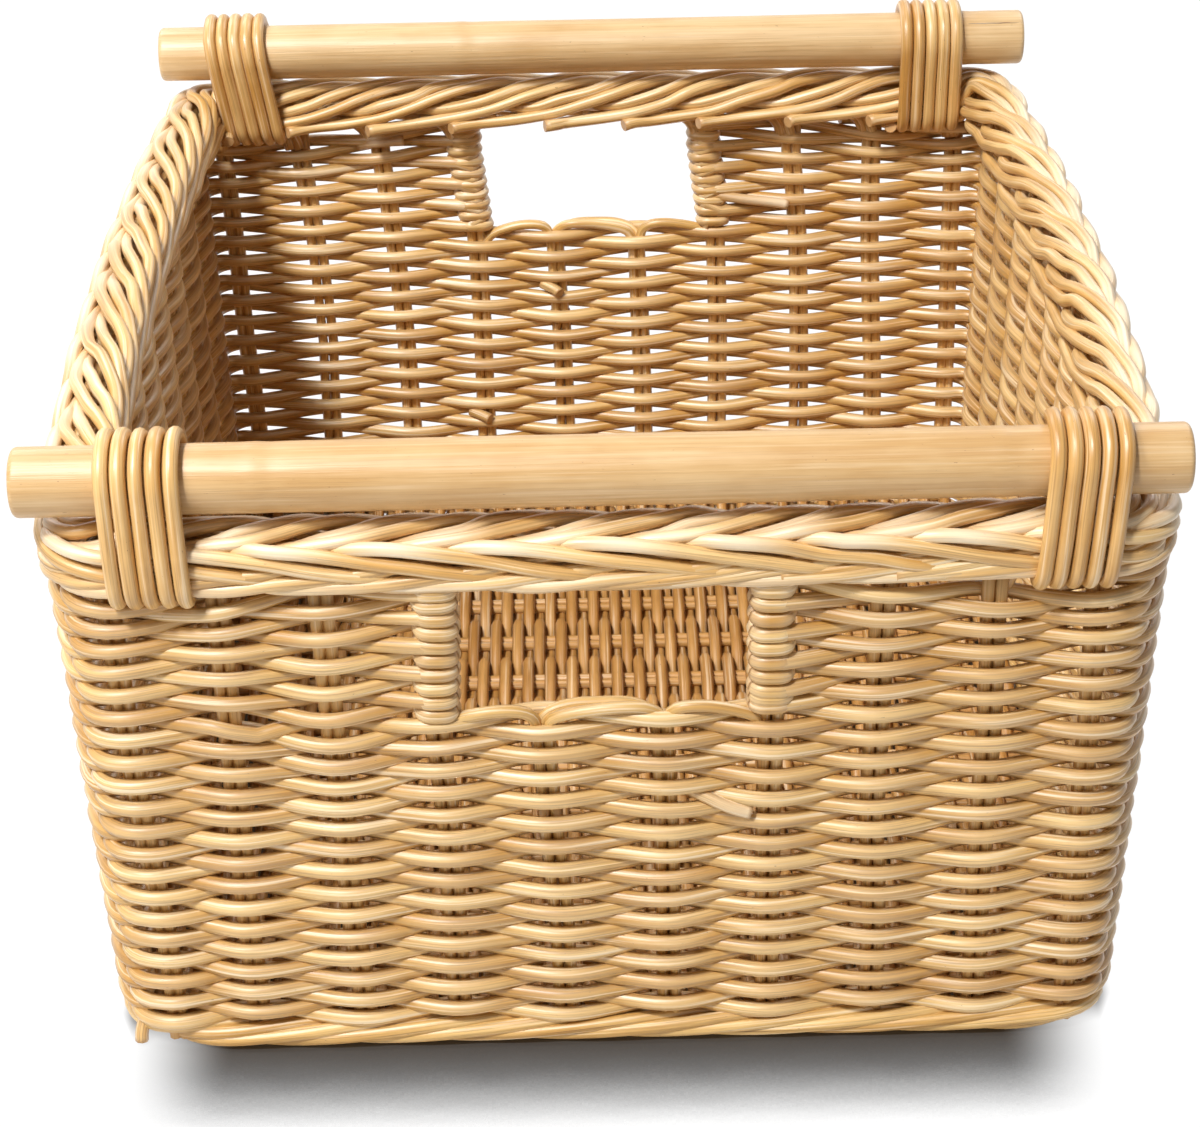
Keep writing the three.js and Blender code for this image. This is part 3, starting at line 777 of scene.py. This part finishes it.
# %% Loose ends
LOOSE_END = 2.55
LOOSE_ENDS = (
    (0.7, (21.9, 202.5, -3), (21.6, 201.5, -5.2), (21.2, 200.6, -5.6), (20.84, 200, -5.0)),
    (0.8, (23.95, 168, -3.4), (23.6, 166.4, -5.2), (23.3, 165, -5.6), (23.1, 163.6, -5.6)),
    (0.1, (26.2, 124.8, -3), (26.1, 123.8, -5.4), (26.02, 122.9, -7.2), (25.98, 122, -9)),
    (0.1, (27.2, 58.6, -3), (27.08, 57.8, -5.4), (27.0, 57.2, -7), (26.94, 56.6, -8.6)),
    (0.6, (5.2, 116, -1), (5.4, 114, 2), (5.6, 111.2, 4.4), (5.82, 108.4, 4.9)),
    (0.1, (41.5, 12, -3), (41.53, 8, 0), (41.56, 4.5, 2.6), (41.57, 1.2, 3.6)),
    (0.5, (28.25, 196.5, -2), (28.1, 198.2, -5.0), (27.9, 199.0, -5.6), (27.7, 199.4, -5.4)),
)
loose = []
for whitish, *keys in LOOSE_ENDS:
    stretched = smooth(np.array(keys) * (MM_PER_STAKE, 1, 1), 1.6)
    line = around(stretched[:, 0] / MM_PER_STAKE, stretched[:, 1], stretched[:, 2])
    loose.append(rod(line, LOOSE_END, 0.5, worn=np.linspace(0.05, whitish, len(line))))
weave_piece("loose_ends", loose, upright=True)
print("loose ends:", len(loose))

# %% [markdown]
# ## The stakes
#
# The stakes stand in pairs, and each is one rod from foot to rim. Only the two middle pairs under each hand
# hole are shorter, because they are folded over to make its sill, and they come with it.

# %% Stakes
STAKE = 2.36
STAKE_BOTTOM, STAKE_TOP, SILL_STAKE_TOP = 3, 212, 110
SILL_PLACES = (4, 5)


def stake_rods(number, bottom, top):
    """The two rods of a pair of stakes, in a few steps from bottom to top."""
    rods = []
    for sign in (-1, 1):
        heights = np.linspace(bottom, top, 10)
        wander = np.interp(heights, np.linspace(bottom, top, 5), random.normal(0, 0.1, 5))
        along = sign * (PAIR_SPREAD + 0.03) + wander
        rods.append(rod(around(number + along / MM_PER_STAKE, heights, 0), STAKE, random.normal(0.5, 0.25)))
    return rods


stakes_made = []
for side, word in enumerate(SIDE_NAMES):
    rods, nodes = [], []
    for place in range(COUNT[side]):
        if word in ("front", "back") and place in SILL_PLACES:
            continue
        rods += stake_rods(FIRST[side] + place, STAKE_BOTTOM, STAKE_TOP)
        nodes.append(f"{word}_stake_pair_{place + 1:02d}")
    stakes_made.append(piece(f"{word}_stakes", rods, stake_cane, nodes, upright=True))
print("stakes:", sum(len(made.data.vertices) for made in stakes_made), "vertices")

# %% [markdown]
# ## The sills
#
# Under a hand hole the stakes turn sideways. Each makes a low arch to the next pair and is tucked in beside
# it, which leaves three arches and the small stubs where they rise out of the weave. Each arch is a few
# points: along from the middle of the hole, out, and up.

# %% Sills
SILL_ROD = 2.3
SILL_ARCHES = (
    ((-20.7, 0, 100), (-20.7, 0, 125), (-20.7, 0.5, 143), (-21.5, 1.5, 150), (-25, 2.6, 153.4),
     (-32, 3.2, 154.6), (-41, 3.2, 153.6), (-48.5, 2.2, 151.2), (-52, 0, 147)),
    ((-16.7, 0, 100), (-16.7, 0, 125), (-16.7, 0.5, 141), (-15.8, 1.4, 148.5), (-11.5, 2.4, 152),
     (0, 3.2, 154.6), (9, 3.2, 155.0), (14.5, 2.2, 153.4), (18.2, 0.6, 149), (19, -1, 142)),
    ((20.7, 0, 100), (20.7, 0, 125), (20.5, 0.5, 144), (21.4, 1.8, 151), (24.5, 3, 154.4),
     (33, 3.2, 155.0), (42, 3.0, 153.2), (49, 2.0, 150), (52.5, 0, 145)),
    ((16.7, 0, 100), (16.7, 0, 125), (16.5, -0.8, 143), (14.5, -2, 150), (9, -3, 152.8),
     (0, -3.2, 153.2), (-10, -3, 152.6), (-17.5, -1.6, 149.5), (-19, 0, 143)),
)
for word, first, flip in (("front", 0, 1), ("back", 21, -1)):
    rods = []
    for arch in SILL_ARCHES:
        keys = smooth(np.array([(along, out * flip, z) for along, out, z in arch]), 2.2)
        line = around(first + 4.5 + keys[:, 0] / MM_PER_STAKE, keys[:, 2], keys[:, 1])
        rods.append(rod(line, SILL_ROD, tone_along(len(line)) * 0.5))
    for place in SILL_PLACES:
        rods += stake_rods(first + place, STAKE_BOTTOM, SILL_STAKE_TOP)
    sill = piece(f"{word}_sill_arches", rods, weaver_cane, [f"{word}_sill"], upright=True)
    print(word, "sill triangles:", faces_in(sill))

# %% [markdown]
# ## The foot
#
# The foot is a rope of four rods twisted round the lower edge. A rope is the easiest of all forms for a
# function: the rods keep a quarter turn apart while they go round the middle of the band. Its corners are
# rounder where it meets the floor than above.

# %% Foot
FOOT_TURNS = 11
FOOT_HALF = (183.5, 205.5)
FOOT_BOW = 5.0
FOOT_ROD, FOOT_MIDDLE, FOOT_OUT, FOOT_UP = 2.66, 6.0, 3.8, 3.3
LOW_CORNER, HIGH_CORNER = 38.0, 13.0
FOOT_START = 0.63


def foot_ring(share, out, corner):
    """Points (x, y) on the foot's rounded rectangle, from share 0 to 1 of the way round, moved outwards."""
    turn = np.linspace(0, math.pi / 2, 24)
    half_x, half_y = FOOT_HALF
    corners = []
    for quarter, (x, y) in enumerate(((1, -1), (1, 1), (-1, 1), (-1, -1))):
        angle = turn + (quarter - 1) * math.pi / 2
        corners.append(np.stack([x * (half_x - corner) + corner * np.cos(angle),
                                 y * (half_y - corner) + corner * np.sin(angle)], axis=1))
    ring = np.vstack(corners + [corners[0][:1]])
    length = np.concatenate([[0], np.cumsum(np.linalg.norm(np.diff(ring, axis=0), axis=1))])

    def spots_at(part):
        return np.stack([np.interp(part % 1 * length[-1], length, column) for column in ring.T], axis=1)

    spots = spots_at(share)
    along = spots_at(share + 0.002) - spots_at(share - 0.002)
    along /= np.linalg.norm(along, axis=1)[:, None]
    bow = FOOT_BOW * np.exp(-(spots[:, 1] / 110) ** 2) * np.abs(along[:, 1])
    return spots + np.stack([along[:, 1], -along[:, 0]], axis=1) * (out + bow)[:, None]


foot_rods = []
share = np.linspace(0, 1, STAKES * 12 + 1)
for quarter in range(4):
    angle = 2 * math.pi * (share * FOOT_TURNS + quarter / 4)
    out = FOOT_OUT * np.cos(angle)
    height = FOOT_MIDDLE + FOOT_UP * np.sin(angle)
    low = np.clip((9.5 - height) / 6.5, 0, 1)[:, None]
    low_spots = foot_ring(share + FOOT_START, out, LOW_CORNER)
    high_spots = foot_ring(share + FOOT_START, out, HIGH_CORNER)
    line = np.column_stack([low_spots * low + high_spots * (1 - low), height])
    foot_rods.append(rod(line, thickness_along(len(line), FOOT_ROD), tone_along(len(line))))
feet = [f"{word}_foot" for word in SIDE_NAMES]
foot = piece("foot_rope", foot_rods, weaver_cane, feet, sides=10)
print("foot triangles:", faces_in(foot))

# %% [markdown]
# ## The base
#
# Pairs of sticks run from left to right, and weavers from front to back, over one pair and under the next.
# The weavers end where the rope of the foot begins, which is nearer at its rounded corners.

# %% Base
BASE_MIDDLE = 7.25
STICK_PITCH, STICK_HALF, STICK_APART = 33.4, 180, 2.3
STICK = 2.25
BASE_PITCH, BASE_HALF = 5.03, 35
BASE_WEAVER = 2.72
BASE_REACH = 199.0


def base_reach(x):
    """How far front and back a base weaver goes: to the wall, or to the arc inside the foot's corner."""
    past_corner = max(0, abs(x) - (FOOT_HALF[0] - LOW_CORNER))
    return min(BASE_REACH, 170.5 + math.sqrt(LOW_CORNER**2 - past_corner**2))


base_rods = []
for number in range(-BASE_HALF, BASE_HALF + 1):
    x = number * BASE_PITCH
    spread = 3.5 * (x / 176) ** 5
    reach = base_reach(x)
    y = np.linspace(-reach, reach, 120)
    lift = 3.9 * np.tanh(2.3 * np.cos(math.pi * (y / STICK_PITCH + number)))
    middle = x + spread * (1 - (y / reach) ** 2) + random.normal(0, 0.1)
    line = np.stack([middle, y, BASE_MIDDLE + lift], axis=1)
    base_rods.append(rod(line, BASE_WEAVER * random.uniform(0.97, 1.03), tone_along(len(y))))
for step in range(-5, 6):
    for side in (-1, 1):
        x = np.linspace(-STICK_HALF, STICK_HALF, 24)
        y = np.full(24, step * STICK_PITCH + side * STICK_APART)
        base_rods.append(rod(np.stack([x, y, np.full(24, BASE_MIDDLE)], axis=1), STICK, 0))
base = piece("base_weave", base_rods, base_cane, ["base"], sides=6)
print("base triangles:", faces_in(base))

# %% [markdown]
# ## The plaited rim
#
# The rim is made of the stakes' own ends. The long rod of a pair leans over to the right along the lower
# edge, in front of the next stakes, climbs over the top, goes down inside, comes back through to the outside
# and slants down there. The short rod goes over the top beside it and is cut off inside. Plaiting it stake
# by stake would need dozens of bends, but each stake repeats the one before. So each rod's path is written
# once, as the distance along, the distance outwards and the height, and then laid out from every stake. Over
# the holes, where the sill's stakes are missing, the rim's rods start a little later, out of the plait
# itself.

# %% Plaited rim
RIM_ROD = 2.6
LONG_END = (
    (0, 0, 196), (2, 0.5, 203), (7, 3, 208.2), (14, 6, 209), (24, 8.6, 208.9), (40, 10, 209),
    (58, 10.3, 210.4), (76, 9.9, 212.5), (92, 9, 214.6), (108, 7.2, 216.8), (125, 6.2, 219.2),
    (140, 6.4, 222), (149, 7.2, 223.8), (162, 6.8, 225.6), (175, 3.4, 226.9), (186, -1.2, 227.2),
    (197, -5.8, 226.4), (207, -8.9, 223.8), (219, -9.8, 220.2), (232, -8.6, 217), (244, -4, 216),
    (255, 1, 217.4), (266, 5.6, 220.8), (275, 8.8, 223.6), (285, 10.2, 224), (300, 10.5, 222.4),
    (318, 10.5, 219), (333, 10.5, 216.2), (346, 10.2, 213.8), (356, 9, 212.4), (366, 6, 211.4),
    (375, 1.5, 210.6), (384, -3, 210.4), (392, -6, 210.8),
)
SHORT_END = (
    (4, 0, 196), (6, 0.5, 203), (11, 1, 207.6), (22, 2.4, 209.9), (36, 3, 211.6), (60, 3, 213.6),
    (84, 2.6, 216), (108, 2, 218.6), (124, 3, 220.4), (138, 4.4, 221.4), (150, 3.4, 223.4), (161, 1, 225.6),
    (172, -2.6, 226.9), (184, -6.8, 225.8), (195, -9.6, 222.8), (208, -11, 218.4), (222, -11.3, 214.6),
    (238, -11, 211.8), (252, -10.9, 210.2),
)
CUT_END = ((261, -13, 209.8), (266, -15.4, 209.6))
HIDDEN_END = ((261, -9.4, 209), (268, -6.5, 208.6))
CUT_STAKES = range(15, 25)
SILL_STAKES = (4, 5, 25, 26)
INNERMOST, OUTERMOST = -15.4, 10.7
LOWEST, HIGHEST = 196, 227.4


def rim_rod(path, stake, radius):
    """One rod of the rim from its stake."""
    keys = np.array(path, float)
    if stake in SILL_STAKES:
        keys = keys[3:]
    free = np.clip((keys[:, 0] - 8) / 30, 0, 1)[:, None]
    keys += random.normal(0, 1, keys.shape) * (1.2, 0.22, 0.25) * free
    line = smooth(keys, 3.2)
    along, out, height = line.T
    # A painted highlight on the bends where the rod turns (34, 152 and 287 mm along), and painted shade that
    # darkens its last part, where it slants down and in.
    worn = 0.75 * bump_at(along, 287, 13) + 0.6 * bump_at(along, 152, 14) + 0.4 * bump_at(along, 34, 20)
    tone = tone_along(len(line)) + 0.22 * np.clip((along - 300) / 50, 0, 1) - 0.1
    height = np.clip(height, LOWEST, HIGHEST)
    out = np.clip(out, INNERMOST, OUTERMOST)
    points = around(stake + along / MM_PER_STAKE, height, out, border_line)
    return rod(points, thickness_along(len(line), radius), tone, worn=worn)


rims = []
for side, word in enumerate(SIDE_NAMES):
    rods = []
    for place in range(COUNT[side]):
        stake = int(FIRST[side] + place - 5) % STAKES
        rods.append(rim_rod(LONG_END, stake, RIM_ROD))
        rods.append(rim_rod(SHORT_END + (CUT_END if stake in CUT_STAKES else HIDDEN_END), stake, RIM_ROD))
        if stake in (3, 4, 5, 6):
            # One more rod lies in the plait over the front hole.
            between = [(along + 19, out, height) for along, out, height in LONG_END[3:11]]
            rods.append(rim_rod(between, stake, 2.5))
    rims.append(piece(f"{word}_rim", rods, border_cane, [f"{word}_border"], sides=10))
print("rim triangles:", faces_in(*rims))

# %% [markdown]
# ## The poles
#
# Each pole is one straight, thick cane, sanded smooth, with its ends rounded over. A cylinder would be too
# even: real cane has faint joints where its leaves grew, and it is never quite the same thickness.

# %% Poles
POLE_RADIUS, END_RADIUS = 12.25, 2.0
POLE_Y, POLE_Z = 208, 244.85
POLE_STEPS = 190


def pole(word, sign, joints, start, end):
    """A pole along x between two places, whose faint joints stand at the places given."""
    bend = np.linspace(0, math.pi / 2, 6)
    inset = END_RADIUS * (1 - np.sin(bend))[::-1]
    middle = np.linspace(start + END_RADIUS + 2, end - END_RADIUS - 2, POLE_STEPS)
    x = np.concatenate([start + inset, middle, end - inset[::-1]])
    rounded = END_RADIUS * (1 - np.cos(bend))
    radius = POLE_RADIUS - np.concatenate([rounded[::-1], np.zeros(POLE_STEPS), rounded])
    radius -= 0.12 + 0.1 * np.sin(x * 0.021 + sign)
    # The back pole is painted paler than the front one, to make up for the weaker light on it: painted light.
    # The slow wave along each is the cane's own tone.
    tone = 0.42 - 0.34 * sign + 0.12 * np.sin(x * 0.03 + 2 * sign)
    for joint in joints:
        radius += 0.16 * bump_at(x, joint, 3) - 0.12 * bump_at(x, joint + 5, 4)
        tone += 0.35 * bump_at(x, joint, 5)
    points = np.stack([x, np.full(len(x), sign * POLE_Y), np.full(len(x), POLE_Z)], axis=1)
    one = rod(points, radius, np.clip(tone, 0, 1))
    return piece(f"{word}_handle_pole", [one], pole_cane, [f"{word}_pole"], sides=40)


poles = [pole("front", -1, (-118, 132), -200, 196), pole("back", 1, (-60, 171), -199.5, 199)]

# %% Drying crack
# It runs to the right end of the back pole, on the side towards the front and up, and just breaks the skin.
CRACK_DEEP = 12.1
crack_x = np.linspace(171, 197.5, 24)
crack_turn = math.radians(51) + 0.005 * np.sin(crack_x * 0.9)
crack_y = POLE_Y - CRACK_DEEP * np.cos(crack_turn)
crack_z = POLE_Z + CRACK_DEEP * np.sin(crack_turn)
crack_width = 0.34 * np.sin(np.linspace(0.2, 2.94, 24))
crack_cane = cane("crack cane", linear(120, 78, 42), linear(84, 54, 30), 0.0)
crack = rod(np.stack([crack_x, crack_y, crack_z], axis=1), crack_width, 0.5)
poles.append(piece("back_pole_crack", [crack], crack_cane, ["back_pole"], upright=True))
print("pole triangles:", faces_in(*poles))

# %% [markdown]
# ## The lashings
#
# A lashing is one reed wound five times round the pole and the rim. Pulled tight, it takes the shortest way
# round both, so each turn follows the outline of five discs: the pole, and the four rounded corners of the
# rim.

# %% Lashings
REED = 2.72
REED_CLEARANCE = 0.35
LASHING_TURNS = 5
TURN_STEPS = 96
RIM_MIDDLE, RIM_HALF, RIM_ROUND = (210.5, 218.1), (5.5, 4.5), 7.0
DISCS = [(POLE_Y, POLE_Z, POLE_RADIUS)]
DISCS += [(RIM_MIDDLE[0] + y * RIM_HALF[0], RIM_MIDDLE[1] + z * RIM_HALF[1], RIM_ROUND)
          for y in (-1, 1) for z in (-1, 1)]


def tight_turn():
    """Points (out, up) of the shortest closed way round the discs, evenly spaced, from the bottom inside."""
    points = []
    for angle in np.linspace(-2.2, -2.2 + 2 * math.pi, 721):
        cosine, sine = math.cos(angle), math.sin(angle)
        y, z, radius = max(DISCS, key=lambda disc: disc[0] * cosine + disc[1] * sine + disc[2])
        away = radius + REED + REED_CLEARANCE
        points.append((y + away * cosine, z + away * sine))
    points = np.array(points)
    length = np.concatenate([[0], np.cumsum(np.linalg.norm(np.diff(points, axis=0), axis=1))])
    even = np.linspace(0, length[-1], TURN_STEPS + 1)[:-1]
    return np.stack([np.interp(even, length, column) for column in points.T], axis=1)


def lashing(name, sign, middle_x, move_from, move_to, lean, pitch):
    """A lashing whose turns move along between two shares of a turn, and lean from bottom to top."""
    count = LASHING_TURNS * TURN_STEPS + 1
    share = np.arange(count) / TURN_STEPS
    part = np.clip((share % 1 - move_from) / (move_to - move_from), 0, 1)
    part = part * part * (3 - 2 * part)
    out, up = tight_turn()[np.arange(count) % TURN_STEPS].T
    centring = 0.5 if move_from > 0.3 else -0.5
    x = middle_x + (np.floor(share) + part - LASHING_TURNS / 2 + centring) * pitch
    x += lean * (np.clip((up - 205) / 50, 0, 1) - 0.5)
    x += np.interp(share, np.arange(LASHING_TURNS + 1), random.normal(0, 0.16, LASHING_TURNS + 1))
    points = np.stack([x, sign * out, up], axis=1)
    one = rod(points, thickness_along(count, REED), tone_along(count))
    node = name.replace("binding", "lashing")
    return piece(name, [one], lashing_reed, [node], sides=12, upright=True)


bindings = [
    lashing("front_binding_a", -1, -155.8, 0.0, 0.1, -1.5, 5.8),
    lashing("front_binding_b", -1, 159.3, 0.6, 0.8, 3.6, 5.7),
    lashing("back_binding_a", 1, -160.8, 0.0, 0.2, -7.0, 5.6),
    lashing("back_binding_b", 1, 155.7, 0.0, 0.2, 0, 5.65),
]
print("lashing triangles:", faces_in(*bindings))

# %% [markdown]
# ## Light and floor
#
# A high lamp in front and to the left is the main light, and is small enough to give the shadow inside the
# basket its edge. A weak one over the opening and one at the left bring out the inside of the back wall and
# the corner, and two behind keep the back from going black. The white of the background is for the camera,
# glossy and transmission rays alone, so it adds no light to the basket.

# %% World and lamps
SKY_LIGHT = 0.05
world = bpy.data.worlds.new("studio")
scene.world = world
world.use_nodes = True
sky = Graph(world.node_tree)
background = sky.tree.nodes["Background"]
sky.feed(background.inputs["Strength"], sky.seen_directly() * (1 - SKY_LIGHT) + SKY_LIGHT)
sky.feed(background.inputs["Color"], (1, 1, 1))


def lamp(name, place, aim, size, power):
    """A square soft lamp at a place in metres, turned towards another, with its side in metres and watts."""
    data = bpy.data.lights.new(name, "AREA")
    data.size = size
    data.energy = power
    made = bpy.data.objects.new(name, data)
    made.location = place
    made.rotation_euler = (Vector(aim) - Vector(place)).to_track_quat("-Z", "Y").to_euler()
    scene.collection.objects.link(made)


lamp("key", (-1.05, -1.7, 3.05), (0, 0, 0.12), 0.45, 98)
lamp("over", (-0.45, -0.3, 1.2), (0, 0.1, 0.1), 0.2, 5.2)
lamp("left", (-0.62, -0.66, 0.9), (-0.15, -0.2, 0.2), 0.4, 3.2)
lamp("behind_left", (-0.55, 0.75, 0.95), (0, 0, 0.15), 0.5, 4.2)
lamp("behind_right", (0.6, 0.75, 0.95), (0, 0, 0.15), 0.5, 3.4)
print("lamps:", len(bpy.data.lights))

# %% [markdown]
# ## The floor
#
# To light, the floor is plain and pale. The camera sees it as pure white with a narrow contact shadow, which
# ambient occlusion gives: a ramp turns its value into black, grey and white. In the photograph that shadow
# shows only along the front, so it fades to white beside and behind the foot.

# %% Floor
SHADOW_REACH = 0.052
SHADOW_STOPS = [(0.5, (0.024, 0.015, 0.008)), (0.73, (0.1, 0.1, 0.1)), (0.92, (0.55, 0.55, 0.55)),
                (0.985, (1, 1, 1))]
bpy.ops.mesh.primitive_plane_add(size=14)
floor = bpy.context.object
floor.name = "floor"
pale = Finish("pale floor")
pale.set(Base_Color=(0.9, 0.9, 0.9), Roughness=0.9)
near = pale.node("ShaderNodeAmbientOcclusion", {"samples": 16}, {"Distance": SHADOW_REACH}, out=1)
shadow = pale.node("ShaderNodeValToRGB", {"stops": SHADOW_STOPS}, {"Fac": near})
place = pale.node("ShaderNodeNewGeometry")
x, y = (pale.node("ShaderNodeSeparateXYZ", None, {0: place}, out=axis) for axis in (0, 1))
at_corner = pale.step(abs(x), 0.145, 0.19) * pale.step(abs(y), 0.185, 0.205)
away = (at_corner + pale.step(abs(x), 0.184, 0.192) + pale.step(y, 0.19, 0.215)).clamped()
white = pale.blend(shadow, (1, 1, 1), away)
shown = pale.node("ShaderNodeEmission", None, {"Color": white, "Strength": 1.0})
lit = pale.node("ShaderNodeBsdfDiffuse", None, {"Color": (0.05, 0.05, 0.05)})
both = pale.node("ShaderNodeAddShader", None, {0: shown, 1: lit})
plain = Wire(pale, pale.shader.outputs[0])
mixed = pale.node("ShaderNodeMixShader", None, {0: pale.seen_directly(), 1: plain, 2: both})
output = next(node for node in pale.tree.nodes if node.type == "OUTPUT_MATERIAL")
pale.feed(output.inputs["Surface"], mixed)
floor.data.materials.append(pale.material)
floor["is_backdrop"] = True
print("floor:", floor.dimensions[:])

# %% [markdown]
# ## Size, and the end
#
# The box round the visual model is measured, without the floor. The visual model has to
# keep to the imported model's size.

# %% Finish
low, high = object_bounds()
